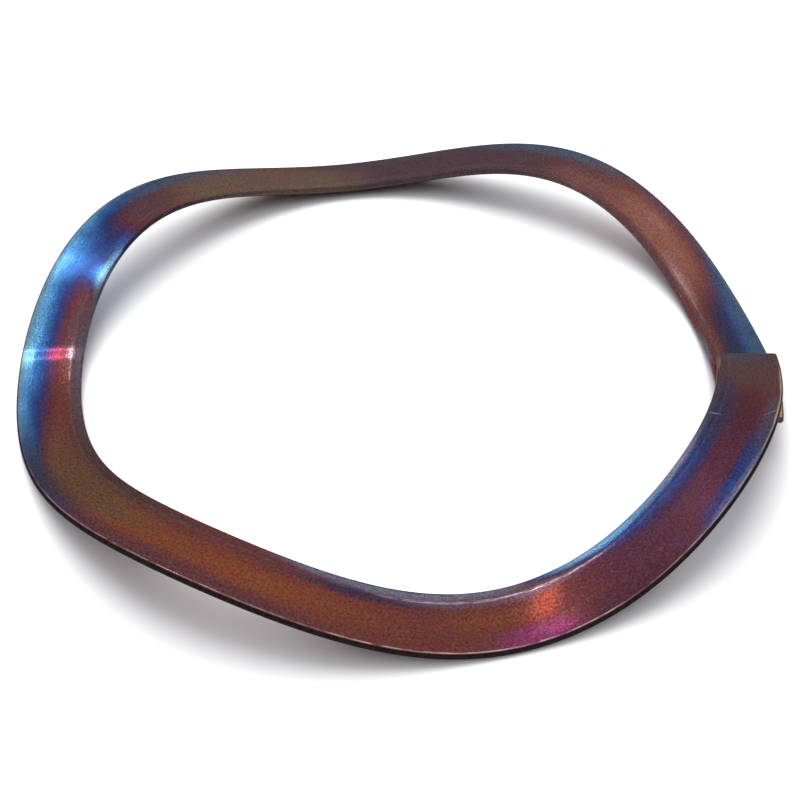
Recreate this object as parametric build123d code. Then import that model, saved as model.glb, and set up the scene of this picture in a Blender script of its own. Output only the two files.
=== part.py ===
from build123d import *
import math
import os

# A single-turn wave washer: one length of flat spring wire, coiled on edge into a ring whose
# ends lap over each other, and pressed into waves. It lies on its troughs at Z = 0, the ring's
# axis is Z, and the cut end of the top lap is just short of +X. Lengths are in mm and angles in
# degrees, counted counterclockwise from +X, which is also the way that the wire climbs.

# The wire
strip_width = 4.15       # across the flat faces
strip_thickness = 0.50   # between the flat faces
edge_thinning = 0.03     # what the outer edge loses as the wire stretches round the bend
shoulder_width = 0.75    # the band along the inner edge that the coiling rolls pinched
shoulder_drop = 0.055    # how far each face of that band falls to the inner edge
edge_flats = 8           # short flats that each rolled edge is drawn with

# The ring
ring_radius = 25.0       # outer edge, away from the lap
top_end = 358.0          # where the wire ends on top of the lap
bottom_end = -20.4       # where it ends underneath
cut_slant = 8.0          # the shear leaves both outer corners this much further round than square
lap_clearance = 0.06     # between the two laps

# The coiling bends the ends less than the rest: the ring is flat at the lap, and the ends spring out
flat_depth = 0.60        # how far the ring falls inside its circle there
flat_at = 346.0          # where it is flattest
flat_reach = 50.0        # how far the flat runs to either side of that
end_spring = 0.44        # how far each end springs outwards
spring_reach = 40.0      # how far back from the end that starts

# The waves
wave_count = 4
wave_height = 3.46       # crest above trough at the outer edge
height_spread = 0.26     # the tallest waves stand this much higher, and the lowest are as much lower
tallest_at = 151.0       # where round the ring the waves are tallest
crest_at = 58.0          # where one crest would be if the crests were evenly spaced
crest_drift = 3.2        # how far the crests wander from even spacing
drift_at = 60.0          # where round the ring a crest comes early by the whole drift
stations_per_wave = 16   # sections that the wire is lofted through, for each wave

half_height = wave_height / 2
closest_waves = wave_count * (1 + math.radians(crest_drift))   # in one turn, where they crowd most
steepest = math.atan(closest_waves * (half_height + height_spread / 2) / ring_radius)
lap_rise = strip_thickness / math.cos(steepest) + lap_clearance


def cos_deg(angle):
    return math.cos(math.radians(angle))


def sin_deg(angle):
    return math.sin(math.radians(angle))


def lap_flat(angle):
    """How far the ring is flattened: most at flat_at, and nothing beyond flat_reach from it."""
    distance = (angle - flat_at + 180) % 360 - 180
    if abs(distance) >= flat_reach:
        return 0.0
    return flat_depth * (1 + cos_deg(180 * distance / flat_reach)) / 2


def end_kick(angle):
    """How far the wire has sprung outwards, which grows as the square of the way to its end."""
    past_start = max(angle - (top_end - spring_reach), bottom_end + spring_reach - angle, 0)
    return end_spring * (past_start / spring_reach) ** 2


def outer_radius(angle):
    """The outer edge's distance from the axis."""
    return ring_radius - lap_flat(angle) + end_kick(angle)


def wave(angle):
    """Height of the waves over their troughs, at ring_radius."""
    height = half_height + height_spread / 2 * cos_deg(angle - tallest_at)
    shift = crest_drift * cos_deg(angle - drift_at)
    return height * (1 + cos_deg(wave_count * (angle - crest_at + shift)))


def apex(angle):
    """Where the strip's radial lines meet the axis, which climbs by lap_rise in one turn."""
    return half_height + lap_rise * (angle - bottom_end) / 360


def lean(angle):
    """How far the washer leans up, at ring_radius, to lie on its troughs.

    Each of the four troughs is a quarter of the climb above the one before. The lap weighs its own
    side of the ring down, so the first, third and fourth come level, and the second hangs clear.
    """
    past_first = angle - (crest_at - 180 / wave_count)
    return lap_rise / 4 * (cos_deg(past_first) + 2 * sin_deg(past_first))


def strip_point(radius, angle):
    """A point of the strip's middle surface.

    Every radial line runs straight to the axis, so the surface is a wavy cone: the only way that
    flat wire can take up waves without being stretched.
    """
    slope = (wave(angle) - half_height + lean(angle)) / ring_radius
    return Vector(radius * cos_deg(angle), radius * sin_deg(angle), apex(angle) + radius * slope)


def section_plane(angle):
    """The plane square to the wire: its origin is mid-strip and its X axis points outwards."""
    middle = outer_radius(angle) - strip_width / 2
    step = 0.01
    outwards = (strip_point(middle + 1, angle) - strip_point(middle - 1, angle)).normalized()
    along = strip_point(middle, angle + step) - strip_point(middle, angle - step)
    across = along.cross(outwards)
    return Plane(strip_point(middle, angle), x_dir=outwards, z_dir=outwards.cross(across))


def rolled_edge(centre, radius, start):
    """Points of a fully round edge, from one face of the wire round to the other."""
    angles = [start - 180 * i / edge_flats for i in range(edge_flats + 1)]
    return [(centre + radius * cos_deg(angle), radius * sin_deg(angle)) for angle in angles]


def wire_section():
    """The wire's section: flat faces, a pinched band inside, and edges rolled fully round."""
    inner_half = strip_thickness / 2 - shoulder_drop
    outer_half = (strip_thickness - edge_thinning) / 2
    half_width = strip_width / 2
    shoulder = -half_width + shoulder_width
    outline = [
        (shoulder, strip_thickness / 2),
        *rolled_edge(half_width - outer_half, outer_half, 90),
        (shoulder, -strip_thickness / 2),
        *rolled_edge(-half_width + inner_half, inner_half, -90),
    ]
    return make_face(Polyline(*outline, close=True))


def wave_washer():
    """The wire's section carried round the turn, from the bottom end to the top end."""
    turn = top_end - bottom_end
    count = math.ceil(turn / 360 * wave_count * stations_per_wave)
    angles = [bottom_end + turn * i / count for i in range(count + 1)]
    section = wire_section()
    places = [section_plane(angle).location for angle in angles]
    for end in (0, -1):
        places[end] = places[end] * Rot(0, -cut_slant, 0)
    washer = loft([place * section for place in places])
    return washer.moved(Location((0, 0, -washer.bounding_box().min.Z)))


os.makedirs("parts", exist_ok=True)
washer = wave_washer()
export_step(washer, "parts/wave_washer.step")
size = washer.bounding_box().size
print(f"wave_washer: {size.X:.2f} x {size.Y:.2f} x {size.Z:.2f} mm, {washer.volume:.1f} mm3")
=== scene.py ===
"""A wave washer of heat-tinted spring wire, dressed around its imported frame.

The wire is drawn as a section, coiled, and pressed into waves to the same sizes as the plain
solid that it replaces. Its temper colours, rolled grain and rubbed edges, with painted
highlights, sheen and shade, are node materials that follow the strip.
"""

import logging
import math
from dataclasses import dataclass, field
from enum import Enum

import bmesh
import bpy
from mathutils import Matrix, Vector


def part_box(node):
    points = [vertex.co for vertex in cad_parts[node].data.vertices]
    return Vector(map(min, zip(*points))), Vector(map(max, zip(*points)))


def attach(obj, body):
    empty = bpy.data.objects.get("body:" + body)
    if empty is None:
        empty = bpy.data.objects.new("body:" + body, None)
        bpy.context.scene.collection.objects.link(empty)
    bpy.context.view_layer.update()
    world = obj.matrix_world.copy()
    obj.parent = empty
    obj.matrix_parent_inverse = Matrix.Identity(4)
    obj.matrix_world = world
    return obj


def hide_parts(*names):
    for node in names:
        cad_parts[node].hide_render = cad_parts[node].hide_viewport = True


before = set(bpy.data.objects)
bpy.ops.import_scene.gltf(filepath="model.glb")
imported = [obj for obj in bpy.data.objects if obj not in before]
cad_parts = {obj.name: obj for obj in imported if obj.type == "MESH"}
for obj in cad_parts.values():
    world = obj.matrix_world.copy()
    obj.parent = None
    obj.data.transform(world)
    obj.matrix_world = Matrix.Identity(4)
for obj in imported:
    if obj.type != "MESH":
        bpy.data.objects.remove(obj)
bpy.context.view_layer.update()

MM = 0.001
NODE = "wave_washer"
BODY = "root"
STRIP_MAP = "Strip"

log = logging.getLogger("wave_washer")

Socket = bpy.types.NodeSocket
Colour = tuple[float, float, float]


class Finish(Enum):
    """The washer's finishes, in the order of its material slots."""

    TEMPERED_FACE = 0
    SHEARED_END = 1


def cos_deg(angle: float) -> float:
    """Cosine of an angle in degrees."""
    return math.cos(math.radians(angle))


def sin_deg(angle: float) -> float:
    """Sine of an angle in degrees."""
    return math.sin(math.radians(angle))


def as_light(colour: tuple[int, int, int]) -> Colour:
    """Turns a colour as seen on a screen, 0 to 255, into the linear light that nodes take."""
    shares = (part / 255 for part in colour)
    return tuple(s / 12.92 if s <= 0.04045 else ((s + 0.055) / 1.055) ** 2.4 for s in shares)


class Graph:
    """A node tree that is being wired up."""

    def __init__(self, tree: bpy.types.NodeTree) -> None:
        """Takes the tree to add nodes to."""
        self.tree = tree

    def node(self, kind: str, **settings: object) -> bpy.types.Node:
        """Adds a node.

        Args:
            kind: The node's type, without its ShaderNode prefix.
            **settings: Properties to set on it.

        Returns:
            The node.
        """
        made = self.tree.nodes.new("ShaderNode" + kind)
        for name, value in settings.items():
            setattr(made, name, value)
        return made

    def feed(self, socket: Socket, value: object) -> None:
        """Links a socket or writes a number or colour into an input.

        Args:
            socket: The input.
            value: A socket to link, a number, or a colour of three numbers.
        """
        if isinstance(value, bpy.types.NodeSocket):
            self.tree.links.new(value, socket)
        elif isinstance(value, tuple) and socket.type == "RGBA":
            socket.default_value = (*value, 1.0)
        else:
            socket.default_value = value

    def math(self, operation: str, *values: object, clamp: bool = False) -> Socket:
        """Adds a Math node.

        Args:
            operation: What it does.
            *values: The sockets or numbers that it takes, in order.
            clamp: Whether the result is held between 0 and 1.

        Returns:
            The result.
        """
        made = self.node("Math", operation=operation, use_clamp=clamp)
        for socket, value in zip(made.inputs, values):
            self.feed(socket, value)
        return made.outputs[0]

    def vector_math(self, operation: str, *values: object) -> Socket:
        """Adds a Vector Math node.

        Args:
            operation: What it does.
            *values: The sockets or vectors that it takes, in order.

        Returns:
            The resulting vector.
        """
        made = self.node("VectorMath", operation=operation)
        for socket, value in zip(made.inputs, values):
            self.feed(socket, value)
        return made.outputs[0]

    def total(self, *values: object) -> Socket:
        """Adds up sockets and numbers.

        Args:
            *values: What to add up.

        Returns:
            The sum.
        """
        result = values[0]
        for value in values[1:]:
            result = self.math("ADD", result, value)
        return result

    def mix(self, factor: object, first: object, second: object, blend: str = "MIX") -> Socket:
        """Mixes two colours.

        Args:
            factor: Share of the second colour.
            first: The colour underneath.
            second: The colour on top.
            blend: The blend type.

        Returns:
            The mixed colour.
        """
        made = self.node("Mix", data_type="RGBA", blend_type=blend)
        self.feed(made.inputs["Factor"], factor)
        self.feed(made.inputs[6], first)
        self.feed(made.inputs[7], second)
        return made.outputs[2]

    def ease(self, value: object, low: object, high: object, start: object = 0.0,
             end: object = 1.0) -> Socket:
        """Maps a value smoothly from one range to another, and holds it beyond the ends.

        Args:
            value: The value.
            low: Where the range that it is in begins.
            high: Where that range ends.
            start: What low becomes.
            end: What high becomes.

        Returns:
            The mapped value.
        """
        made = self.node("MapRange", interpolation_type="SMOOTHSTEP")
        for name, fed in zip(("Value", "From Min", "From Max", "To Min", "To Max"),
                             (value, low, high, start, end)):
            self.feed(made.inputs[name], fed)
        return made.outputs["Result"]

    def noise(self, vector: Socket, scale: float, detail: float = 2.0,
              roughness: float = 0.5) -> Socket:
        """Adds a noise.

        Args:
            vector: Where it is read.
            scale: Its scale per unit of the vector.
            detail: How many finer layers it has.
            roughness: How strong each finer layer is.

        Returns:
            The noise's value.
        """
        made = self.node("TexNoise", noise_dimensions="3D")
        self.feed(made.inputs["Vector"], vector)
        made.inputs["Scale"].default_value = scale
        made.inputs["Detail"].default_value = detail
        made.inputs["Roughness"].default_value = roughness
        return made.outputs["Fac"]

    def vector(self, x: object, y: object, z: object = 0.0) -> Socket:
        """Puts three values together as a vector.

        Args:
            x: The first part.
            y: The second part.
            z: The third part.

        Returns:
            The vector.
        """
        made = self.node("CombineXYZ")
        for socket, value in zip(made.inputs, (x, y, z)):
            self.feed(socket, value)
        return made.outputs[0]

    def group(self, tree: bpy.types.NodeTree, **values: object) -> bpy.types.Node:
        """Places a node group and feeds its inputs.

        Args:
            tree: The group's tree.
            **values: What each input gets, with underscores for the spaces in its name.

        Returns:
            The group node.
        """
        made = self.node("Group", node_tree=tree)
        for name, value in values.items():
            self.feed(made.inputs[name.replace("_", " ")], value)
        return made

    def split(self, vector: Socket) -> bpy.types.NodeOutputs:
        """Takes a vector apart.

        Args:
            vector: The vector.

        Returns:
            Its parts, named X, Y and Z.
        """
        made = self.node("SeparateXYZ")
        self.feed(made.inputs[0], vector)
        return made.outputs

    def bump(self, height: Socket, strength: float, depth: float,
             normal: Socket | None = None) -> Socket:
        """Adds a Bump node.

        Args:
            height: The relief.
            strength: How much of it is felt.
            depth: The depth of a height of 1, in mm.
            normal: The normal that it disturbs, if not the surface's own.

        Returns:
            The disturbed normal.
        """
        made = self.node("Bump")
        made.inputs["Strength"].default_value = strength
        made.inputs["Distance"].default_value = depth * MM
        self.feed(made.inputs["Height"], height)
        if normal is not None:
            self.feed(made.inputs["Normal"], normal)
        return made.outputs["Normal"]

    def surface(self, shader: Socket) -> None:
        """Ends a material's tree in the given shader."""
        self.feed(self.node("OutputMaterial").inputs["Surface"], shader)


def blank_material(name: str) -> tuple[bpy.types.Material, Graph]:
    """Makes a material that has no nodes yet.

    Args:
        name: Its name.

    Returns:
        The material, and its tree to wire up.
    """
    material = bpy.data.materials.new(name)
    material.use_nodes = True
    material.node_tree.nodes.clear()
    return material, Graph(material.node_tree)


class Effect:
    """A shader node group with named inputs and outputs, built once."""

    name: str = "Effect"
    inputs: dict[str, str] = {}
    outputs: dict[str, str] = {}

    def __init__(self) -> None:
        """Makes the group's tree and wires it."""
        self.tree = bpy.data.node_groups.new(self.name, "ShaderNodeTree")
        for names, side in ((self.inputs, "INPUT"), (self.outputs, "OUTPUT")):
            for name, kind in names.items():
                self.tree.interface.new_socket(name, in_out=side, socket_type="NodeSocket" + kind)
        graph = Graph(self.tree)
        entry = self.tree.nodes.new("NodeGroupInput")
        leave = self.tree.nodes.new("NodeGroupOutput")
        self.wire(graph, entry.outputs, leave.inputs)

    def wire(self, graph: Graph, given: object, made: object) -> None:
        """Wires the group's nodes, from its given inputs to the outputs that it has made."""
        raise NotImplementedError


class StripPlace(Effect):
    """Where a point lies on the wire: how far round, how far across, and the grain's place.

    Attributes:
        mm_per_degree: Length of a degree of the ring at mid-strip.
        wire_width: In mm.
    """

    name = "Strip place"
    outputs = {"Turn": "Float", "Across": "Float", "Along": "Vector"}
    mm_per_degree: float = 0.40
    wire_width: float = 4.15

    def wire(self, graph: Graph, given: object, made: object) -> None:
        """Reads the strip's own map. Along is in mm, with the upper and under sides apart.

        Args:
            graph: The group's tree.
            given: The group's inputs, by name; not used, as the group has none.
            made: The group's outputs to feed, by name.
        """
        place = graph.node("UVMap", uv_map=STRIP_MAP)
        parts = graph.split(place.outputs["UV"])
        turn = graph.math("MULTIPLY", parts["X"], 360.0)
        under = graph.math("GREATER_THAN", parts["Y"], 1.0)
        across = graph.math("PINGPONG", parts["Y"], 1.0)
        graph.feed(made["Turn"], turn)
        graph.feed(made["Across"], across)
        graph.feed(made["Along"], graph.vector(
            graph.math("MULTIPLY", turn, self.mm_per_degree),
            graph.math("MULTIPLY", across, self.wire_width),
            graph.math("MULTIPLY", under, self.wire_width)))


class SoftPatch(Effect):
    """A soft oval on the strip, full at its middle and fading to nothing at its rim."""

    name = "Soft patch"
    inputs = {"Turn": "Float", "Across": "Float", "At": "Float", "Centre": "Float",
              "Run": "Float", "Breadth": "Float", "Slant": "Float", "Core": "Float",
              "Rise": "Float"}
    outputs = {"Value": "Float"}

    def wire(self, graph: Graph, given: object, made: object) -> None:
        """Measures the distance from the middle in half-sizes, and eases it to a value.

        Args:
            graph: The group's tree.
            given: The group's inputs, by name.
            made: The group's outputs to feed, by name.
        """
        along = graph.math("DIVIDE", graph.math("SUBTRACT", given["Turn"], given["At"]),
                           given["Run"])
        lean = graph.math("MULTIPLY", along, given["Slant"])
        over = graph.math("SUBTRACT", graph.math("SUBTRACT", given["Across"], given["Centre"]),
                          lean)
        wide = graph.math("DIVIDE", over, given["Breadth"])
        offset = graph.vector(along, wide)
        far = graph.node("VectorMath", operation="LENGTH")
        graph.feed(far.inputs[0], offset)
        graph.feed(made["Value"], graph.ease(far.outputs["Value"], given["Core"], 1.0,
                                             given["Rise"], 0.0))


class TemperColour(Effect):
    """The colour that an oxide film gives bright steel, from olive straw to the blues."""

    name = "Temper colour"
    inputs = {"Film": "Float"}
    outputs = {"Colour": "Color"}
    stages: tuple[tuple[str, float, tuple[int, int, int]], ...] = (
        ("olive straw", 0.00, (102, 78, 56)),
        ("rust", 0.12, (122, 68, 46)),
        ("red brown", 0.26, (106, 58, 52)),
        ("maroon", 0.38, (90, 48, 58)),
        ("plum", 0.47, (72, 50, 78)),
        ("indigo", 0.57, (50, 54, 100)),
        ("deep blue", 0.67, (46, 72, 126)),
        ("blue", 0.78, (54, 98, 154)),
        ("steel blue", 0.90, (84, 140, 184)),
        ("pale blue", 1.00, (100, 154, 184)),
    )

    def wire(self, graph: Graph, given: object, made: object) -> None:
        """Lays the stages on a ramp.

        Args:
            graph: The group's tree.
            given: The group's inputs, by name.
            made: The group's outputs to feed, by name.
        """
        ramp = graph.node("ValToRGB")
        band = ramp.color_ramp
        band.elements.remove(band.elements[1])
        for index, (_, film, colour) in enumerate(self.stages):
            stop = band.elements.new(film) if index else band.elements[0]
            stop.color = (*as_light(colour), 1.0)
        graph.feed(ramp.inputs["Fac"], given["Film"])
        graph.feed(made["Colour"], ramp.outputs["Color"])


class RolledGrain(Effect):
    """The grain of rolled wire: hues, a fine speckle, a soft mottle, streaks, and specks.

    Attributes:
        hue_scale: How fine the hues are, per mm.
        speckle_scale: How fine the speckle is, per mm.
        fine_roughness: How strong the finer layers of both are.
        mottle_scale: How fine the mottle is, per mm.
        streak_scale: How fine the streaks are across the wire, per mm.
        streak_roughness: How strong their finer layers are.
        streak_stretch: What the place is multiplied by, to draw the streaks out.
        speck_scale: How close the cells lie that may hold a speck, per mm.
        speck_core: How far from its cell's middle a speck stays full, in cells.
        speck_rim: How far it reaches.
        rare_from: Which cells begin to have a speck, as a share of them all.
        rare_to: Which have a full one.
    """

    name = "Rolled grain"
    inputs = {"Along": "Vector"}
    outputs = {"Speckle": "Float", "Mottle": "Float", "Streaks": "Float", "Specks": "Float",
               "Hues": "Vector"}
    hue_scale: float = 7.0
    speckle_scale: float = 6.5
    fine_roughness: float = 0.8
    mottle_scale: float = 0.9
    streak_scale: float = 5.0
    streak_roughness: float = 0.6
    streak_stretch: tuple[float, float, float] = (0.10, 1.0, 1.0)
    speck_scale: float = 1.3
    speck_core: float = 0.03
    speck_rim: float = 0.09
    rare_from: float = 0.84
    rare_to: float = 0.96

    def wire(self, graph: Graph, given: object, made: object) -> None:
        """Reads four noises, each centred on 0, and picks a few of the cells of a fifth.

        Args:
            graph: The group's tree.
            given: The group's inputs, by name.
            made: The group's outputs to feed, by name.
        """
        along = given["Along"]
        hues = graph.noise(along, self.hue_scale, roughness=self.fine_roughness).node
        graph.feed(made["Hues"], graph.vector_math(
            "SUBTRACT", hues.outputs["Color"], (0.5, 0.5, 0.5)))
        stretched = graph.vector_math("MULTIPLY", along, self.streak_stretch)
        for name, vector, scale, roughness in (
                ("Speckle", along, self.speckle_scale, self.fine_roughness),
                ("Mottle", along, self.mottle_scale, 0.5),
                ("Streaks", stretched, self.streak_scale, self.streak_roughness)):
            value = graph.noise(vector, scale, detail=3.0, roughness=roughness)
            graph.feed(made[name], graph.math("SUBTRACT", value, 0.5))
        cells = graph.node("TexVoronoi", feature="F1")
        graph.feed(cells.inputs["Vector"], along)
        cells.inputs["Scale"].default_value = self.speck_scale
        pick = graph.split(cells.outputs["Color"])
        graph.feed(made["Specks"], graph.math(
            "MULTIPLY", graph.ease(cells.outputs["Distance"], self.speck_core, self.speck_rim,
                                   1.0, 0.0),
            graph.ease(pick["X"], self.rare_from, self.rare_to)))


class RubbedHighlightLine(Effect):
    """A bright line along the wire, broken up by a noise: rubbed steel, and partly a painted
    highlight along the edge that it follows.

    Attributes:
        wear_stretch: What the place is multiplied by, to draw the breaks out.
        wear_scale: How fine the breaks are, per mm.
        wear_roughness: How strong their finer layers are.
        gap_blend: How softly the line breaks.
    """

    name = "Rubbed highlight line"
    inputs = {"Along": "Vector", "Across": "Float", "At": "Float", "Width": "Float",
              "Strength": "Float", "Breaks": "Float"}
    outputs = {"Mask": "Float"}
    wear_stretch: tuple[float, float, float] = (0.4, 3.0, 1.0)
    wear_scale: float = 3.0
    wear_roughness: float = 0.65
    gap_blend: float = 0.12

    def wire(self, graph: Graph, given: object, made: object) -> None:
        """Eases the distance from the line, and lets the noise eat into it.

        Args:
            graph: The group's tree.
            given: The group's inputs, by name.
            made: The group's outputs to feed, by name.
        """
        far = graph.math("ABSOLUTE", graph.math("SUBTRACT", given["Across"], given["At"]))
        line = graph.ease(far, 0.0, given["Width"], 1.0, 0.0)
        stretched = graph.vector_math("MULTIPLY", given["Along"], self.wear_stretch)
        wear = graph.noise(stretched, self.wear_scale, detail=4.0, roughness=self.wear_roughness)
        gaps = graph.ease(wear, graph.math("SUBTRACT", given["Breaks"], self.gap_blend),
                          graph.math("ADD", given["Breaks"], self.gap_blend))
        graph.feed(made["Mask"], graph.math(
            "MULTIPLY", graph.math("MULTIPLY", line, gaps), given["Strength"], clamp=True))


class Tint(Enum):
    """Colours of the film where it is dull, thick or rubbed, and of painted highlights, sheen and
    shade, as seen on a screen.
    """

    KHAKI = (97, 72, 56)
    OLIVE = (108, 87, 76)
    UMBER = (76, 60, 58)
    # painted shade: near black, for the inner edge where it lies in its own shadow on the table
    SOOT = (56, 48, 50)
    GREY_BROWN = (86, 67, 68)
    MAROON = (100, 70, 71)
    # painted sheen: lighter patches where the face catches the light
    ROSE = (140, 92, 80)
    # painted highlight: the orange red of a lamp seen in the metal
    EMBER = (140, 66, 54)
    # painted highlight: red, where a lamp shows in the metal beside the press marks
    CORAL = (176, 66, 92)
    PLUM = (88, 56, 60)
    WINE = (76, 46, 58)
    MAUVE = (84, 64, 71)
    # painted highlight: magenta
    MAGENTA = (124, 56, 92)
    # painted highlight: pale pink
    BLOOM = (206, 172, 196)
    GRAPE = (60, 42, 70)
    DUSK = (100, 80, 98)
    LAVENDER = (132, 124, 146)
    LILAC = (106, 110, 130)
    NAVY = (60, 50, 74)
    # painted shade: the dark inner rolled edge
    INK = (30, 36, 54)
    SLATE = (54, 58, 80)
    ASH = (80, 75, 85)
    BLUE_GREY = (72, 90, 110)
    HAZE = (104, 128, 150)
    # painted highlight: sky blue glints on the inner edge
    SKY = (126, 162, 190)
    # painted highlight: the cyan white of a lamp seen in the metal
    FROST = (150, 218, 240)
    MIST = (114, 122, 124)
    # painted highlight: the light line along the outer corner
    TAN = (170, 150, 124)
    PALE = (172, 134, 128)


@dataclass(frozen=True)
class Patch:
    """A soft oval on the strip.

    Attributes:
        at: Degrees round from +X.
        across: Share of the width from the inner edge.
        run: Half its length, in degrees.
        breadth: Half its breadth, as a share of the width.
        rise: What it adds at its middle.
        slant: How far it leans outwards over its half-length.
        core: Share of its half-size that stays full.
        tint: The colour that it lays over what is beneath, if it lays one.
    """

    at: float
    across: float
    run: float
    breadth: float
    rise: float
    slant: float = 0.0
    core: float = 0.0
    tint: Tint | None = None


@dataclass(frozen=True)
class RubAndHighlight:
    """A bright line along the wire: rubbed, and partly a painted highlight along the edge.

    Attributes:
        at: Share of the width from the inner edge.
        width: From its middle to where it has faded out, as a share of the width.
        breaks: How much of it is missing, from 0 to 1.
        wear: Where round the ring it shows, and how strongly.
    """

    at: float
    width: float
    breaks: float
    wear: tuple[Patch, ...]


@dataclass(frozen=True)
class Effects:
    """The node groups that the finishes are made with."""

    place: bpy.types.NodeTree
    patch: bpy.types.NodeTree
    temper: bpy.types.NodeTree
    grain: bpy.types.NodeTree
    line: bpy.types.NodeTree

    @classmethod
    def make(cls) -> "Effects":
        """Builds each group once."""
        return cls(StripPlace().tree, SoftPatch().tree, TemperColour().tree, RolledGrain().tree,
                   RubbedHighlightLine().tree)


@dataclass(frozen=True)
class PatchLayer:
    """Lays patches in a material's tree.

    One patch's nodes are all made before the next patch's: the renderer keeps too many values at
    once if many patches are made first and added up afterwards, and shows the metal black.

    Attributes:
        graph: The material's tree.
        oval: The node group of one soft patch.
        turn: How far round a point is.
    """

    graph: Graph
    oval: bpy.types.NodeTree
    turn: Socket

    def lay(self, patch: Patch, across: Socket) -> Socket:
        """Lays one patch.

        Args:
            patch: The patch.
            across: How far across a point is.

        Returns:
            What the patch adds at each point.
        """
        return self.graph.group(
            self.oval, Turn=self.turn, Across=across, At=patch.at, Centre=patch.across,
            Run=patch.run, Breadth=patch.breadth, Slant=patch.slant, Core=patch.core,
            Rise=patch.rise).outputs[0]

    def add_up(self, patches: tuple[Patch, ...], start: object, across: Socket) -> Socket:
        """Adds patches to a starting value.

        Args:
            patches: The patches.
            start: The value.
            across: How far across a point is.

        Returns:
            The sum.
        """
        result = start
        for patch in patches:
            result = self.graph.math("ADD", self.lay(patch, across), result)
        return result


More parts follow.
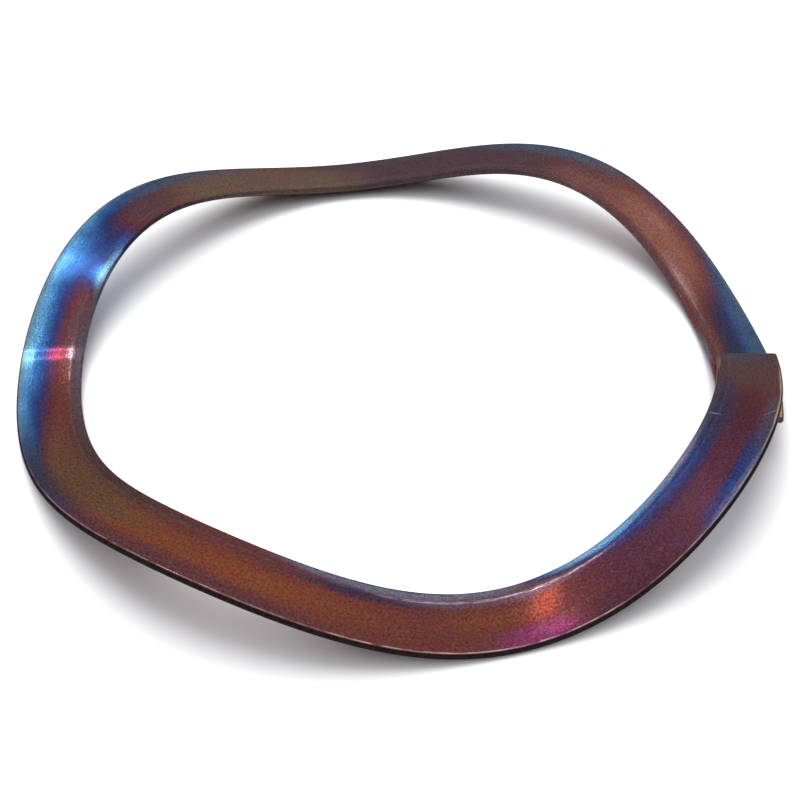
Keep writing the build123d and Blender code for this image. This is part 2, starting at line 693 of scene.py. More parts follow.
@dataclass(frozen=True)
class TemperedSteel:
    """Rolled spring steel with the colours of its heat treatment, rubbed bright at its edges; its
    colour also holds painted highlights, sheen and shade.

    Attributes:
        name: The material's name.
        film: Thickness of the film where nothing changes it, from 0 to 1.
        heat: Where the film is thicker or thinner.
        tints: Colours over the film's own, in the order that they are laid; some are painted
            highlights, sheen and shade.
        matt: Where the surface is rougher.
        rubs_and_highlights: The bright lines along the wire, rubbed and partly painted highlight.
        press_marks: The two creases.
        painted_highlights: Where the colour is lightened, as painted highlights.
        fray: How far the streaks shift the patches across.
        film_mottle: How much the mottle changes the film.
        film_speckle: How much the speckle changes it.
        calm_from: The film from which the grain fades.
        calm_to: The film at which it has faded.
        calm_grain: The share of the grain that is left there.
        light: What the colour is multiplied by where nothing changes it.
        light_speckle: How much the speckle changes the light.
        light_streaks: How much the streaks change it.
        light_mottle: How much the mottle changes it.
        light_hues: How much the grain shifts the hue.
        speck_share: How much of the bright colour the specks have.
        rubbed_and_lit_all_over: How strongly the bright lines, rubbed and partly painted
            highlight, show all round.
        wall_from: How far across the outer edge's wall begins.
        wall_to: How far across it is as dark as it gets.
        wall_shade_colour: Colour of the wall, darkened as painted shade, as seen on a screen.
        bright_colour: Colour of rubbed steel in the specks, and of the bright lines, which are
            partly painted highlight.
        grazing: How much light the metal throws back at a grazing angle.
        roughness: Roughness where nothing changes it.
        rough_speckle: How much the speckle changes it.
        rough_mottle: How much the mottle changes it.
        relief: How much of the grain is felt.
        relief_depth: The grain's depth, in mm.
        press_depth: The creases' depth, in mm.
    """

    name: str = "tempered_spring_steel"
    film: float = 0.27
    heat: tuple[Patch, ...] = (
        Patch(at=5, across=1.06, run=28, breadth=0.95, rise=0.44, core=0.25),
        Patch(at=30, across=0.85, run=12, breadth=0.3, rise=0.10),
        Patch(at=145, across=1.04, run=22, breadth=0.75, rise=0.24, core=0.2),
        Patch(at=159.5, across=0.17, run=13, breadth=0.80, rise=0.34, core=0.2),
        Patch(at=164.5, across=0.12, run=4.5, breadth=0.3, rise=0.26),
        Patch(at=176, across=1.06, run=44, breadth=0.87, rise=0.70, core=0.14),
        Patch(at=200, across=0.88, run=13, breadth=0.3, rise=0.16),
        Patch(at=220, across=0.5, run=24, breadth=0.5, rise=-0.24),
        Patch(at=250, across=0.56, run=30, breadth=0.36, rise=-0.16),
        Patch(at=282, across=0.5, run=10, breadth=0.22, rise=-0.10),
        Patch(at=318, across=0.5, run=34, breadth=1.3, rise=0.13, core=0.3),
        Patch(at=318, across=0.10, run=28, breadth=0.30, rise=0.20, core=0.4),
        Patch(at=302, across=0.0, run=20, breadth=0.16, rise=0.34, core=0.5),
        Patch(at=326, across=0.92, run=16, breadth=0.27, rise=0.20, core=0.4),
    )
    tints: tuple[Patch, ...] = (
        Patch(at=4, across=0.46, run=16, breadth=0.26, rise=0.85, core=0.2, tint=Tint.SLATE),
        Patch(at=8, across=0.90, run=24, breadth=0.36, rise=0.75, core=0.3, tint=Tint.BLUE_GREY),
        Patch(at=6, across=0.16, run=16, breadth=0.18, rise=0.8, core=0.3, tint=Tint.MAROON),
        # painted sheen
        Patch(at=34, across=0.42, run=22, breadth=0.56, rise=0.9, core=0.25, tint=Tint.ROSE),
        Patch(at=22, across=0.2, run=10, breadth=0.17, rise=0.6, tint=Tint.PALE),
        Patch(at=35.5, across=0.58, run=4.5, breadth=0.16, rise=0.25, tint=Tint.PALE),
        Patch(at=34, across=0.0, run=28, breadth=0.18, rise=0.75, core=0.4, tint=Tint.MAUVE),
        Patch(at=22, across=1.0, run=17, breadth=0.16, rise=0.6, tint=Tint.HAZE),
        Patch(at=38, across=0.87, run=15, breadth=0.16, rise=0.6, tint=Tint.DUSK),
        Patch(at=55, across=0.35, run=15, breadth=1.0, rise=0.8, core=0.3, tint=Tint.MAROON),
        Patch(at=84, across=0.5, run=36, breadth=1.5, rise=0.95, core=0.5, tint=Tint.MAUVE),
        # painted sheen
        Patch(at=52, across=0.3, run=11, breadth=0.3, rise=0.4, tint=Tint.ROSE),
        Patch(at=119, across=0.3, run=28, breadth=0.9, rise=0.95, core=0.45, tint=Tint.OLIVE),
        Patch(at=60, across=1.0, run=22, breadth=0.46, rise=0.85, core=0.3, tint=Tint.BLUE_GREY),
        Patch(at=90, across=1.0, run=34, breadth=0.40, rise=0.8, tint=Tint.ASH),
        Patch(at=134, across=1.02, run=21, breadth=0.56, rise=0.85, tint=Tint.BLUE_GREY),
        Patch(at=144.5, across=0.36, run=9, breadth=0.5, rise=0.8, core=0.2, tint=Tint.MAUVE),
        # painted shade along the inner edge over the back trough
        Patch(at=96, across=0.0, run=54, breadth=0.11, rise=0.7, core=0.5, tint=Tint.SOOT),
        Patch(at=141, across=0.74, run=11, breadth=0.2, rise=0.6, tint=Tint.BLUE_GREY),
        Patch(at=146, across=0.97, run=13, breadth=0.10, rise=0.75, tint=Tint.MIST),
        # painted highlight: a glint on the inner edge
        Patch(at=163, across=0.04, run=8, breadth=0.15, rise=0.85, tint=Tint.SKY),
        # painted highlight on the inner edge
        Patch(at=164, across=0.11, run=4.5, breadth=0.10, rise=0.6, tint=Tint.FROST),
        # painted shade along the inner edge
        Patch(at=155, across=0.0, run=34, breadth=0.045, rise=0.85, core=0.5, tint=Tint.INK),
        Patch(at=174, across=0.98, run=40, breadth=0.13, rise=0.7, core=0.3, tint=Tint.HAZE),
        Patch(at=177, across=0.18, run=13, breadth=0.2, rise=0.85, core=0.2, tint=Tint.MAUVE),
        Patch(at=190, across=0.0, run=34, breadth=0.20, rise=0.85, core=0.4, tint=Tint.ASH),
        # painted highlight on the outer part, beside the press marks
        Patch(at=182, across=0.90, run=3.0, breadth=0.17, rise=0.7, core=0.1, tint=Tint.FROST),
        # painted highlight of a lamp across the press marks
        Patch(at=181.6, across=0.42, run=2.2, breadth=0.26, rise=0.7, tint=Tint.CORAL),
        Patch(at=181.5, across=0.20, run=2.1, breadth=0.09, rise=0.6, tint=Tint.BLOOM),
        Patch(at=202, across=0.88, run=11, breadth=0.22, rise=0.6, tint=Tint.BLUE_GREY),
        Patch(at=212, across=0.94, run=21, breadth=0.40, rise=0.85, core=0.2,
              tint=Tint.SLATE),
        Patch(at=214, across=0.74, run=14, breadth=0.18, rise=0.65, tint=Tint.UMBER),
        Patch(at=218, across=0.14, run=32, breadth=0.24, rise=0.85, core=0.3, tint=Tint.UMBER),
        Patch(at=216, across=0.46, run=24, breadth=0.36, rise=0.85, core=0.3, tint=Tint.KHAKI),
        Patch(at=252, across=0.14, run=18, breadth=0.22, rise=0.6, core=0.3, tint=Tint.PLUM),
        Patch(at=240, across=0.92, run=28, breadth=0.26, rise=0.85, core=0.3, tint=Tint.PLUM),
        Patch(at=266, across=0.22, run=15, breadth=0.14, rise=0.85, core=0.3, tint=Tint.NAVY),
        Patch(at=302, across=0.86, run=14, breadth=0.24, rise=0.8, core=0.3, tint=Tint.WINE),
        Patch(at=271, across=0.04, run=24, breadth=0.16, rise=0.85, core=0.5, tint=Tint.LILAC),
        Patch(at=284, across=0.20, run=20, breadth=0.11, rise=0.7, core=0.5, tint=Tint.DUSK),
        # painted highlight of a lamp on the front, magenta outside and orange red across the
        # middle
        Patch(at=288, across=0.86, run=8, breadth=0.26, rise=0.95, core=0.3, tint=Tint.MAGENTA),
        Patch(at=290.5, across=0.45, run=4.5, breadth=0.28, rise=0.9, core=0.2, slant=-0.2,
              tint=Tint.EMBER),
        Patch(at=314, across=0.0, run=27, breadth=0.14, rise=0.7, core=0.5, tint=Tint.HAZE),
        Patch(at=310, across=0.5, run=17, breadth=0.32, rise=0.55, core=0.3, tint=Tint.WINE),
        Patch(at=316, across=0.32, run=13, breadth=0.15, rise=0.65, tint=Tint.GRAPE),
        # painted highlight: glints on the inner edge
        Patch(at=299, across=0.03, run=9, breadth=0.11, rise=0.75, tint=Tint.SKY),
        Patch(at=322, across=0.95, run=13, breadth=0.08, rise=0.55, tint=Tint.LAVENDER),
        Patch(at=325, across=0.03, run=16, breadth=0.09, rise=0.8, core=0.3,
              tint=Tint.LAVENDER),
        # painted shade along the inner edge
        Patch(at=270, across=0.0, run=36, breadth=0.05, rise=0.85, core=0.5, tint=Tint.INK),
        Patch(at=337, across=0.52, run=13, breadth=0.34, rise=0.6, core=0.3, tint=Tint.WINE),
        Patch(at=337, across=0.88, run=12, breadth=0.17, rise=0.8, core=0.2, tint=Tint.ASH),
        Patch(at=338, across=0.14, run=17, breadth=0.34, rise=0.8, core=0.3, tint=Tint.SLATE),
        Patch(at=344, across=0.0, run=18, breadth=0.14, rise=0.7, core=0.3, tint=Tint.ASH),
        Patch(at=354, across=0.55, run=13, breadth=1.4, rise=0.85, core=0.2,
              tint=Tint.GREY_BROWN),
        Patch(at=359, across=0.3, run=8, breadth=0.8, rise=0.9, core=0.2, tint=Tint.ASH),
        # painted highlight along the outer corner at both ends
        Patch(at=344, across=0.985, run=14, breadth=0.06, rise=0.85, core=0.4, tint=Tint.TAN),
        Patch(at=-16, across=0.97, run=8, breadth=0.12, rise=0.85, core=0.4, tint=Tint.TAN),
        Patch(at=2, across=0.0, run=9, breadth=0.08, rise=0.8, core=0.2, tint=Tint.LILAC),
        Patch(at=354, across=0.03, run=5, breadth=0.03, rise=0.6, core=0.3, tint=Tint.PALE),
        Patch(at=339, across=0.88, run=1.8, breadth=0.026, rise=0.75, slant=0.12,
              tint=Tint.LAVENDER),
        Patch(at=335, across=0.12, run=0.3, breadth=0.13, rise=0.75, core=0.3,
              tint=Tint.LAVENDER),
    )
    matt: tuple[Patch, ...] = (
        Patch(at=90, across=0.5, run=50, breadth=2.0, rise=0.12, core=0.5),
        Patch(at=318, across=0.5, run=14, breadth=2.0, rise=0.10, core=0.5),
        Patch(at=345, across=0.5, run=20, breadth=2.0, rise=0.12, core=0.5),
    )
    # partly painted highlight: the shoulder ridge and the outer corner catch the light as bright
    # lines
    rubs_and_highlights: tuple[RubAndHighlight, ...] = (
        RubAndHighlight(at=0.181, width=0.032, breaks=0.50, wear=(
            Patch(at=285, across=0.18, run=20, breadth=0.5, rise=0.9, core=0.6),
            Patch(at=184, across=0.18, run=9, breadth=0.5, rise=0.35),
            Patch(at=20, across=0.18, run=14, breadth=0.5, rise=0.3))),
        RubAndHighlight(at=0.955, width=0.014, breaks=0.46, wear=(
            Patch(at=280, across=0.95, run=24, breadth=0.5, rise=0.9, core=0.6),
            Patch(at=326, across=0.95, run=30, breadth=0.5, rise=0.45, core=0.5),
            Patch(at=234, across=0.95, run=34, breadth=0.5, rise=0.35, core=0.5))),
    )
    press_marks: tuple[Patch, ...] = (
        Patch(at=180.8, across=0.5, run=0.7, breadth=9.0, rise=1.0),
        Patch(at=182.4, across=0.5, run=0.7, breadth=9.0, rise=0.7),
    )
    # painted highlights: the glow of a lamp near 163.8 and 181.6 degrees, and bright lines on the
    # two press marks
    painted_highlights: tuple[Patch, ...] = (
        Patch(at=181.6, across=0.52, run=2.2, breadth=0.9, rise=0.35, core=0.4),
        Patch(at=163.8, across=0.5, run=4.2, breadth=2.0, rise=0.5),
        Patch(at=180.8, across=0.52, run=0.5, breadth=0.6, rise=0.8, core=0.2),
        Patch(at=182.4, across=0.52, run=0.5, breadth=0.6, rise=0.6, core=0.2),
    )
    fray: float = 0.10
    film_mottle: float = 0.14
    film_speckle: float = 0.08
    calm_from: float = 0.45
    calm_to: float = 0.85
    calm_grain: float = 0.5
    light: float = 1.0
    light_speckle: float = 2.4
    light_streaks: float = 0.25
    light_mottle: float = 0.3
    light_hues: float = 2.4
    speck_share: float = 0.35
    rubbed_and_lit_all_over: float = 0.06
    wall_from: float = 0.962
    wall_to: float = 0.978
    wall_shade_colour: tuple[int, int, int] = (34, 26, 26)
    bright_colour: tuple[int, int, int] = (200, 180, 184)
    grazing: float = 0.5
    roughness: float = 0.20
    rough_speckle: float = 0.2
    rough_mottle: float = 0.10
    relief: float = 0.25
    relief_depth: float = 0.02
    press_depth: float = 0.004

    def film_colour(self, layer: PatchLayer, effects: Effects, grain: bpy.types.Node,
                    across: Socket) -> tuple[Socket, Socket]:
        """Grows the film, and colours it.

        Args:
            layer: Lays the patches.
            effects: The node groups.
            grain: The grain's group node.
            across: How far across a point is, with frayed lines.

        Returns:
            The film's thickness and its colour.
        """
        graph = layer.graph
        mottle = graph.math("MULTIPLY", grain.outputs["Mottle"], self.film_mottle)
        speckle = graph.math("MULTIPLY", grain.outputs["Speckle"], self.film_speckle)
        film = layer.add_up(self.heat, graph.total(self.film, mottle, speckle), across)
        colour = graph.group(effects.temper, Film=film).outputs["Colour"]
        for patch in self.tints:
            colour = graph.mix(layer.lay(patch, across), colour, as_light(patch.tint.value))
        return film, colour

    def grained(self, layer: PatchLayer, grain: bpy.types.Node, film: Socket, colour: Socket,
                across: Socket) -> Socket:
        """Varies a colour with the grain, less where the film is thick, and lightens it with
        painted highlights.

        Args:
            layer: Lays the patches.
            grain: The grain's group node.
            film: The film's thickness.
            colour: The colour.
            across: How far across a point is.

        Returns:
            The varied colour.
        """
        graph = layer.graph
        calm = graph.ease(film, self.calm_from, self.calm_to, 1.0, self.calm_grain)
        fine = graph.math("MULTIPLY", calm, self.light_speckle)
        light = graph.total(
            layer.add_up(self.painted_highlights, self.light, across),
            graph.math("MULTIPLY", grain.outputs["Speckle"], fine),
            graph.math("MULTIPLY", grain.outputs["Streaks"], self.light_streaks),
            graph.math("MULTIPLY", grain.outputs["Mottle"], self.light_mottle))
        even = graph.vector(light, light, light)
        spread = graph.math("MULTIPLY", calm, self.light_hues)
        spread = graph.vector(spread, spread, spread)
        shade = graph.vector_math("MULTIPLY_ADD", grain.outputs["Hues"], spread, even)
        return graph.mix(1.0, colour, shade, "MULTIPLY")

    def build(self, effects: Effects) -> bpy.types.Material:
        """Makes the material.

        Args:
            effects: The node groups.

        Returns:
            The material.
        """
        material, graph = blank_material(self.name)
        place = graph.group(effects.place)
        across = place.outputs["Across"]
        layer = PatchLayer(graph, effects.patch, place.outputs["Turn"])
        grain = graph.group(effects.grain, Along=place.outputs["Along"])
        frayed = graph.math("ADD", across,
                            graph.math("MULTIPLY", grain.outputs["Streaks"], self.fray))
        film, colour = self.film_colour(layer, effects, grain, frayed)
        # painted shade: the outer wall is darkened in its colour, standing in for the dark room
        # that it reflects
        wall = graph.ease(across, self.wall_from, self.wall_to)
        colour = graph.mix(wall, colour, as_light(self.wall_shade_colour))
        colour = self.grained(layer, grain, film, colour, across)
        bright = as_light(self.bright_colour)
        specks = graph.math("MULTIPLY", grain.outputs["Specks"], self.speck_share)
        colour = graph.mix(specks, colour, bright)
        # the bright lines, partly painted highlight
        for rub_line in self.rubs_and_highlights:
            strength = layer.add_up(rub_line.wear, self.rubbed_and_lit_all_over, across)
            line = graph.group(effects.line, Along=place.outputs["Along"], Across=across,
                               At=rub_line.at, Width=rub_line.width, Strength=strength, Breaks=rub_line.breaks)
            colour = graph.mix(line.outputs["Mask"], colour, bright)
        rough = graph.total(
            layer.add_up(self.matt, self.roughness, across),
            graph.math("MULTIPLY", grain.outputs["Speckle"], self.rough_speckle),
            graph.math("MULTIPLY", grain.outputs["Mottle"], self.rough_mottle))
        relief = graph.math("ADD", grain.outputs["Speckle"], grain.outputs["Streaks"])
        normal = graph.bump(relief, self.relief, self.relief_depth)
        marks = layer.add_up(self.press_marks, 0.0, across)
        normal = graph.bump(marks, 1.0, self.press_depth, normal)
        shader = graph.node("BsdfPrincipled")
        shader.inputs["Metallic"].default_value = 1.0
        graph.feed(shader.inputs["Specular Tint"], (self.grazing,) * 3)
        graph.feed(shader.inputs["Base Color"], colour)
        graph.feed(shader.inputs["Roughness"], rough)
        graph.feed(shader.inputs["Normal"], normal)
        graph.surface(shader.outputs["BSDF"])
        return material


@dataclass(frozen=True)
class ShearedSteel:
    """The cut ends: sheared before the heat treatment, so that they took a dull film.

    Attributes:
        name: The material's name.
        colour: As seen on a screen.
        light_speckle: How much the speckle changes the light.
        roughness: Roughness where nothing changes it.
        rough_mottle: How much the mottle changes it.
        relief: How much of the grain is felt.
        relief_depth: The grain's depth, in mm.
    """

    name: str = "sheared_spring_steel"
    colour: tuple[int, int, int] = (74, 60, 62)
    light_speckle: float = 0.8
    roughness: float = 0.45
    rough_mottle: float = 0.2
    relief: float = 0.5
    relief_depth: float = 0.02

    def build(self, effects: Effects) -> bpy.types.Material:
        """Makes the material.

        Args:
            effects: The node groups.

        Returns:
            The material.
        """
        material, graph = blank_material(self.name)
        coordinates = graph.node("TexCoord")
        in_mm = graph.node("Mapping")
        graph.feed(in_mm.inputs["Vector"], coordinates.outputs["Object"])
        in_mm.inputs["Scale"].default_value = (1 / MM, 1 / MM, 1 / MM)
        grain = graph.group(effects.grain, Along=in_mm.outputs[0])
        speckle = graph.math("MULTIPLY", grain.outputs["Speckle"], self.light_speckle)
        shade = graph.math("ADD", speckle, 1.0)
        colour = graph.mix(1.0, as_light(self.colour), graph.vector(shade, shade, shade),
                           "MULTIPLY")
        mottle = graph.math("MULTIPLY", grain.outputs["Mottle"], self.rough_mottle)
        rough = graph.math("ADD", mottle, self.roughness)
        normal = graph.bump(grain.outputs["Speckle"], self.relief, self.relief_depth)
        shader = graph.node("BsdfPrincipled")
        shader.inputs["Metallic"].default_value = 1.0
        graph.feed(shader.inputs["Base Color"], colour)
        graph.feed(shader.inputs["Roughness"], rough)
        graph.feed(shader.inputs["Normal"], normal)
        graph.surface(shader.outputs["BSDF"])
        return material


@dataclass
class WireSection:
    """The wire's section, in mm: flat faces, a pinched band inside, and edges rolled round.

    The wire and its path have the plain solid's sizes, less up to 7 microns, because finer facets
    would otherwise stand out past the solid's.

    Attributes:
        width: Across the flat faces.
        thickness: Between the flat faces.
        edge_thinning: What the outer edge loses as the wire stretches round the bend.
        shoulder_width: The band along the inner edge that the coiling rolls pinched.
        shoulder_drop: How far each face of that band falls to the inner edge.
        shoulder_blend: Half the width over which the face turns down into the band.
        edge_steps: Facets in a quarter of a rolled edge.
        face_steps: Facets across a flat face.
    """

    width: float = 4.146
    thickness: float = 0.497
    edge_thinning: float = 0.03
    shoulder_width: float = 0.75
    shoulder_drop: float = 0.055
    shoulder_blend: float = 0.05
    edge_steps: int = 8
    face_steps: int = 9

    def outline(self) -> list[tuple[float, float]]:
        """The points round the section, from the inner edge over the top face and back under.

        Returns:
            Points as (across from mid-strip, height above the middle surface).
        """
        inner = self.thickness / 2 - self.shoulder_drop
        outer = (self.thickness - self.edge_thinning) / 2
        half_width = self.width / 2
        half = self.thickness / 2
        shoulder = -half_width + self.shoulder_width
        start = (-half_width + inner, inner)
        fall = self.shoulder_drop / (shoulder - start[0])
        top = [(-half_width + inner - inner * sin_deg(t), inner * cos_deg(t))
               for t in (90 - 90 * i / self.edge_steps for i in range(self.edge_steps))]
        top.append(start)
        top.append(((start[0] + shoulder) / 2, (inner + half) / 2))
        top.append((shoulder - self.shoulder_blend, half - fall * self.shoulder_blend))
        top.append((shoulder, half - fall * self.shoulder_blend / 4))
        face_end = half_width - outer
        flat = face_end - shoulder - self.shoulder_blend
        top += [(shoulder + self.shoulder_blend + flat * i / self.face_steps,
                 half + (outer - half) * i / self.face_steps) for i in range(self.face_steps + 1)]
        top += [(face_end + outer * sin_deg(t), outer * cos_deg(t))
                for t in (90 * i / self.edge_steps for i in range(1, self.edge_steps + 1))]
        under = [(x, -z) for x, z in reversed(top[1:-1])]
        return top + under


@dataclass
class WavyPath:
    """The line that the wire takes: one lapped turn, flat at the lap, that waves and climbs.

    Lengths are in mm, and angles in degrees counterclockwise from +X.

    Attributes:
        ring_radius: The outer edge, away from the lap.
        top_end: Where the wire ends on top of the lap.
        bottom_end: Where it ends underneath.
        cut_slant: How much further round both outer corners are than a square cut's.
        slant_reach: How far back from the end the section is turned.
        lap_clearance: Between the two laps.
        flat_depth: How far the ring falls inside its circle at the lap.
        flat_at: Where it is flattest.
        flat_reach: How far the flat runs to either side of that.
        end_spring: How far each end springs outwards.
        spring_reach: How far back from the end that starts.
        wave_count: How many waves there are.
        wave_height: Crest above trough at the outer edge.
        height_spread: How much higher the tallest waves stand.
        tallest_at: Where the waves are tallest.
        crest_at: Where one crest would be if the crests were evenly spaced.
        crest_drift: How far the crests wander from even spacing.
        drift_at: Where a crest comes early by the whole drift.
        section: The wire's section.
    """

    ring_radius: float = 24.993
    top_end: float = 358.0
    bottom_end: float = -20.4
    cut_slant: float = 8.0
    slant_reach: float = 4.0
    lap_clearance: float = 0.06
    flat_depth: float = 0.60
    flat_at: float = 346.0
    flat_reach: float = 50.0
    end_spring: float = 0.44
    spring_reach: float = 40.0
    wave_count: int = 4
    wave_height: float = 3.458
    height_spread: float = 0.26
    tallest_at: float = 151.0
    crest_at: float = 58.0
    crest_drift: float = 3.2
    drift_at: float = 60.0
    section: WireSection = field(default_factory=WireSection)

    @property
    def turn(self) -> float:
        """How far round the wire runs."""
        return self.top_end - self.bottom_end

    @property
    def lap_rise(self) -> float:
        """The wire's climb.

        Returns:
            How far it climbs in one turn, to pass over itself.
        """
        closest = self.wave_count * (1 + math.radians(self.crest_drift))
        tallest = (self.wave_height + self.height_spread) / 2
        steepest = math.atan(closest * tallest / self.ring_radius)
        return self.section.thickness / math.cos(steepest) + self.lap_clearance

    def outer_radius(self, angle: float) -> float:
        """Where the outer edge runs: closer in at the lap, and further out at both ends.

        Args:
            angle: How far round.

        Returns:
            Its distance from the axis.
        """
        away = abs((angle - self.flat_at + 180) % 360 - 180)
        flat = 0.0
        if away < self.flat_reach:
            flat = self.flat_depth * (1 + cos_deg(180 * away / self.flat_reach)) / 2
        sprung = max(angle - self.top_end, self.bottom_end - angle) + self.spring_reach
        kick = self.end_spring * (max(sprung, 0.0) / self.spring_reach) ** 2
        return self.ring_radius - flat + kick

    def rise(self, angle: float) -> float:
        """The waves, and the lean that lets three of the four troughs lie on the table.

        Args:
            angle: How far round.

        Returns:
            Height of the strip over its apex, at ring_radius.
        """
        height = self.wave_height / 2 + self.height_spread / 2 * cos_deg(angle - self.tallest_at)
        shift = self.crest_drift * cos_deg(angle - self.drift_at)
        wave = height * (1 + cos_deg(self.wave_count * (angle - self.crest_at + shift)))
        past_first = angle - (self.crest_at - 180 / self.wave_count)
        lean = self.lap_rise / 4 * (cos_deg(past_first) + 2 * sin_deg(past_first))
        return wave - self.wave_height / 2 + lean

    def point(self, radius: float, angle: float) -> Vector:
        """A point of the strip's middle surface, a wavy cone.

        Args:
            radius: Distance from the axis.
            angle: How far round.

        Returns:
            The point.
        """
        apex = self.lap_rise * (angle - self.bottom_end) / 360
        return Vector((radius * cos_deg(angle), radius * sin_deg(angle),
                       apex + radius * self.rise(angle) / self.ring_radius))

    def place(self, angle: float) -> tuple[Vector, Vector, Vector, Vector]:
        """Where the section stands at an angle.

        Args:
            angle: How far round.

        Returns:
            The section's middle, its outward direction, the way the wire runs, and the top
            face's normal.
        """
        middle = self.outer_radius(angle) - self.section.width / 2
        step = 0.01
        out = (self.point(middle + 1, angle) - self.point(middle - 1, angle)).normalized()
        along = self.point(middle, angle + step) - self.point(middle, angle - step)
        up = out.cross(along).normalized()
        return self.point(middle, angle), out, up.cross(out), up

    def slant(self, angle: float) -> float:
        """How far the section is turned from square, in degrees: only close to the cut ends."""
        away = min(self.top_end - angle, angle - self.bottom_end)
        return self.cut_slant * max(1 - away / self.slant_reach, 0.0)


@dataclass
class WaveWasher:
    """The washer.

    Its wire is coiled steeply, so that each step of the spin has a height of its own, and then
    laid on the wavy path.

    Attributes:
        path: The line that the wire takes.
        steps_per_degree: Steps of the spin.
        coil_climb: How far the coil climbs at each step, in mm.
        cut_rounding: What is taken off the edges of the cut ends, in mm.
    """

    path: WavyPath = field(default_factory=WavyPath)
    steps_per_degree: float = 2.0
    coil_climb: float = 1.0
    cut_rounding: float = 0.06

    @property
    def steps(self) -> int:
        """How many steps the spin takes."""
        return round(self.path.turn * self.steps_per_degree)

    def coil(self) -> bmesh.types.BMesh:
        """Spins the section round the axis.

        Returns:
            A steep helix of the wire, each vertex with its place in the section as layers.
        """
        bm = bmesh.new()
        across = bm.verts.layers.float.new("across")
        height = bm.verts.layers.float.new("height")
        section = []
        for x, z in self.path.section.outline():
            vert = bm.verts.new((self.path.ring_radius + x, 0.0, z))
            vert[across], vert[height] = x, z
            section.append(vert)
        edges = [bm.edges.new((a, b)) for a, b in zip(section, section[1:] + section[:1])]
        bmesh.ops.spin(bm, geom=section + edges, axis=(0, 0, 1), cent=(0, 0, 0),
                       dvec=(0, 0, self.coil_climb), angle=math.radians(self.path.turn),
                       steps=self.steps)
        return bm

    def press(self, bm: bmesh.types.BMesh) -> None:
        """Lays the coiled wire on its wavy path, and maps it.

        Args:
            bm: The coil, which is changed in place.
        """
        across = bm.verts.layers.float["across"]
        height = bm.verts.layers.float["height"]
        step_angle = self.path.turn / self.steps
        stations = [self.path.bottom_end + step_angle * i for i in range(self.steps + 1)]
        places = [(*self.path.place(angle), self.path.slant(angle)) for angle in stations]
        angle_of = {}
        for vert in bm.verts:
            index = round((vert.co.z - vert[height]) / self.coil_climb)
            middle, out, along, up, slant = places[index]
            lead = vert[across] * sin_deg(slant)
            vert.co = (middle + out * vert[across] * cos_deg(slant) + along * lead
                       + up * vert[height])
            angle_of[vert] = stations[index] + math.degrees(lead / self.path.ring_radius)
        self.map_strip(bm, angle_of)

    def map_strip(self, bm: bmesh.types.BMesh, angle_of: dict[bmesh.types.BMVert, float]) -> None:
        """Maps the faces: along U in turns from +X, and along V once round the section.

        V runs from 0 at the inner edge over the top face to 1 at the outer edge, and back under
        to 2.

        Args:
            bm: The coil.
            angle_of: How far round each vertex is.
        """
        uv = bm.loops.layers.uv.new(STRIP_MAP)
        across = bm.verts.layers.float["across"]
        height = bm.verts.layers.float["height"]
        width = self.path.section.width
        for face in bm.faces:
            under = sum(vert[height] for vert in face.verts) < 0
            for loop in face.loops:
                share = loop.vert[across] / width + 0.5
                loop[uv].uv = (angle_of[loop.vert] / 360, 2 - share if under else share)

    def close_ends(self, bm: bmesh.types.BMesh) -> None:
        """Caps both cut ends, and takes the sharpness off the cuts.

        Args:
            bm: The pressed wire, which is changed in place.
        """
        uv = bm.loops.layers.uv[STRIP_MAP]
        rim = [edge for edge in bm.edges if edge.is_boundary]
        caps = bmesh.ops.holes_fill(bm, edges=rim, sides=0)["faces"]
        for cap in caps:
            cap.material_index = Finish.SHEARED_END.value
            for loop in cap.loops:
                loop[uv].uv = loop.link_loop_radial_next[uv].uv
        bmesh.ops.bevel(bm, geom=rim, offset=self.cut_rounding, offset_type="OFFSET", segments=2,
                        profile=0.5, affect="EDGES", clamp_overlap=True, material=-1)

    def sort_faces(self, bm: bmesh.types.BMesh) -> None:
        """Puts the faces in the order of their vertices, because spin leaves them in any order.

        Args:
            bm: The washer, which is changed in place.
        """
        bm.verts.index_update()
        count = len(bm.verts)

        def rank(face: bmesh.types.BMFace) -> int:
            """Ranks a face by its first vertex, and then by them all."""
            indices = [vert.index for vert in face.verts]
            return min(indices) * count + sum(indices)

        bm.faces.sort(key=rank)

    def build(self) -> bpy.types.Object:
        """Builds the washer in the frame's own place and scale.

        Returns:
            The washer, without its finishes.
        """
        bm = self.coil()
        self.press(bm)
        self.close_ends(bm)
        lowest = min(vert.co.z for vert in bm.verts)
        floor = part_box(NODE)[0].z / MM
        bmesh.ops.translate(bm, vec=(0, 0, floor - lowest), verts=bm.verts)
        bmesh.ops.scale(bm, vec=(MM, MM, MM), verts=bm.verts)
        bmesh.ops.recalc_face_normals(bm, faces=bm.faces)
        self.sort_faces(bm)
        mesh = bpy.data.meshes.new("tinted_wire")
        bm.to_mesh(mesh)
        bm.free()
        mesh.shade_smooth()
        piece = bpy.data.objects.new("tinted_wire", mesh)
        bpy.context.scene.collection.objects.link(piece)
        return piece

    def dress(self, piece: bpy.types.Object, effects: Effects) -> None:
        """Gives the washer its finishes, and puts it in the place of the plain solid.

        Args:
            piece: The washer.
            effects: The node groups.
        """
        materials = {Finish.TEMPERED_FACE: TemperedSteel().build(effects),
                     Finish.SHEARED_END: ShearedSteel().build(effects)}
        for finish in Finish:
            piece.data.materials.append(materials[finish])
        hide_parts(NODE)
        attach(piece, BODY)


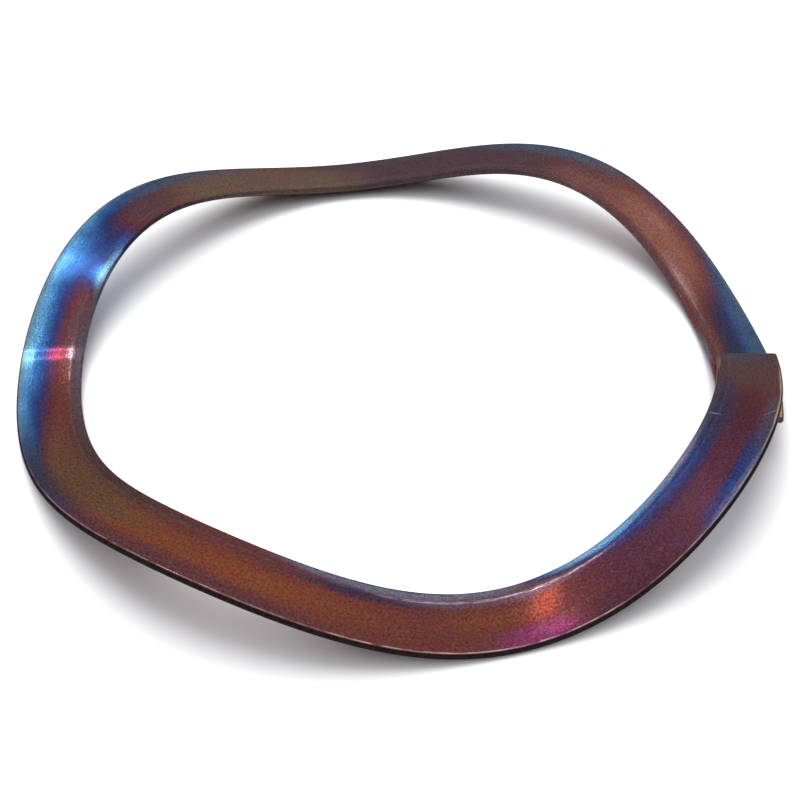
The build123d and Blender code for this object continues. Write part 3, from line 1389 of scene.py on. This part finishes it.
@dataclass(frozen=True)
class Lamp:
    """A round soft lamp, aimed at the washer.

    Attributes:
        name: What it is called.
        azimuth: Degrees counterclockwise from +X.
        elevation: Degrees above the floor.
        distance: From the washer's middle, in metres.
        size: Its diameter, in metres.
        power: In watts.
        mirrored: Whether it shows in bright metal.
    """

    name: str
    azimuth: float
    elevation: float
    distance: float
    size: float
    power: float
    mirrored: bool = True

    def hang(self) -> None:
        """Adds the lamp to the scene."""
        data = bpy.data.lights.new(self.name, "AREA")
        data.shape = "DISK"
        data.size = self.size
        data.energy = self.power
        lamp = bpy.data.objects.new(self.name, data)
        towards = Vector((cos_deg(self.azimuth) * cos_deg(self.elevation),
                          sin_deg(self.azimuth) * cos_deg(self.elevation),
                          sin_deg(self.elevation)))
        lamp.location = towards * self.distance
        lamp.rotation_mode = "QUATERNION"
        lamp.rotation_quaternion = towards.to_track_quat("Z", "Y")
        lamp.visible_glossy = self.mirrored
        bpy.context.scene.collection.objects.link(lamp)


@dataclass
class Studio:
    """A white table in a white room, its lamps, and the camera.

    Attributes:
        table_size: Along one side, in metres.
        table_colour: As seen on a screen.
        room_light: Strength of the room's light from overhead.
        room_colour: Its colour.
        room_low: Height of the way to the room, from 0 to 1, up to which it gives no light.
        room_high: Height from which it gives all its light.
        lamps: The lamps.
        camera_place: Where the camera stands, in mm.
        camera_fall: How far it looks down, in degrees.
        camera_roll: How far it leans, in degrees.
        lens: Its focal length, in mm.
    """

    table_size: float = 3.0
    table_colour: tuple[int, int, int] = (235, 235, 235)
    room_light: float = 1.3
    room_colour: Colour = (0.96, 0.96, 1.0)
    room_low: float = 0.3
    room_high: float = 0.8
    lamps: tuple[Lamp, ...] = (
        Lamp("softbox", azimuth=105, elevation=67, distance=1.5, size=1.30, power=19.0,
             mirrored=False),
        Lamp("low_softbox", azimuth=95, elevation=36, distance=1.5, size=0.60, power=6.0,
             mirrored=False),
        Lamp("window_lamp", azimuth=122.2, elevation=58.5, distance=1.5, size=0.09, power=0.28),
        Lamp("ceiling_lamp", azimuth=94, elevation=62, distance=1.5, size=0.09, power=0.32),
    )
    camera_place: tuple[float, float, float] = (0.040, -67.229, 55.566)
    camera_fall: float = 41.153
    camera_roll: float = 0.219
    lens: float = 58.56

    def lay_table(self) -> None:
        """Lays the table at the washer's lowest point."""
        bm = bmesh.new()
        bmesh.ops.create_grid(bm, x_segments=8, y_segments=8, size=self.table_size / 2)
        bmesh.ops.translate(bm, vec=(0, 0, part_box(NODE)[0].z), verts=bm.verts)
        mesh = bpy.data.meshes.new("table")
        bm.to_mesh(mesh)
        bm.free()
        table = bpy.data.objects.new("table", mesh)
        bpy.context.scene.collection.objects.link(table)
        material, graph = blank_material("white_table")
        matt = graph.node("BsdfDiffuse")
        graph.feed(matt.inputs["Color"], as_light(self.table_colour))
        graph.surface(matt.outputs["BSDF"])
        mesh.materials.append(material)

    def light_room(self) -> None:
        """Lights the room from above, and shows it white."""
        world = bpy.data.worlds.new("white_room")
        world.use_nodes = True
        bpy.context.scene.world = world
        graph = Graph(world.node_tree)
        world.node_tree.nodes.clear()
        way = graph.split(graph.node("TexCoord").outputs["Generated"])
        even = graph.node("Background")
        graph.feed(even.inputs["Strength"], graph.ease(way["Z"], self.room_low, self.room_high,
                                                       0.0, self.room_light))
        graph.feed(even.inputs["Color"], self.room_colour)
        white = graph.node("Background")
        white.inputs["Strength"].default_value = 1.0
        graph.feed(white.inputs["Color"], (1.0, 1.0, 1.0))
        path = graph.node("LightPath")
        seen = graph.math("MAXIMUM", path.outputs["Is Camera Ray"], path.outputs["Is Glossy Ray"])
        seen = graph.math("MAXIMUM", seen, path.outputs["Is Transmission Ray"])
        room = graph.node("MixShader")
        graph.feed(room.inputs["Fac"], seen)
        graph.feed(room.inputs[1], even.outputs[0])
        graph.feed(room.inputs[2], white.outputs[0])
        out = graph.node("OutputWorld")
        graph.feed(out.inputs["Surface"], room.outputs[0])

    def set_camera(self) -> None:
        """Stands the camera in front of the washer and above it."""
        data = bpy.data.cameras.new("camera")
        data.lens = self.lens
        data.sensor_width = 36.0
        data.clip_start, data.clip_end = 0.001, 20.0
        camera = bpy.data.objects.new("camera", data)
        camera.matrix_world = (Matrix.Translation(Vector(self.camera_place) * MM)
                               @ Matrix.Rotation(math.radians(90 - self.camera_fall), 4, "X")
                               @ Matrix.Rotation(math.radians(self.camera_roll), 4, "Z"))
        bpy.context.scene.collection.objects.link(camera)
        bpy.context.scene.camera = camera

    def build(self) -> None:
        """Sets up the table, the lamps, the room and the camera."""
        self.lay_table()
        self.light_room()
        for lamp in self.lamps:
            lamp.hang()
        self.set_camera()
        bpy.context.scene.view_settings.view_transform = "Standard"


def main() -> None:
    """Builds the washer and its studio."""
    logging.basicConfig(level=logging.INFO, format="%(name)s: %(message)s")
    effects = Effects.make()
    washer = WaveWasher()
    piece = washer.build()
    washer.dress(piece, effects)
    studio = Studio()
    studio.build()
    log.info("studio: a table, %d lamps and a camera", len(studio.lamps))


if __name__ == "__main__":
    main()
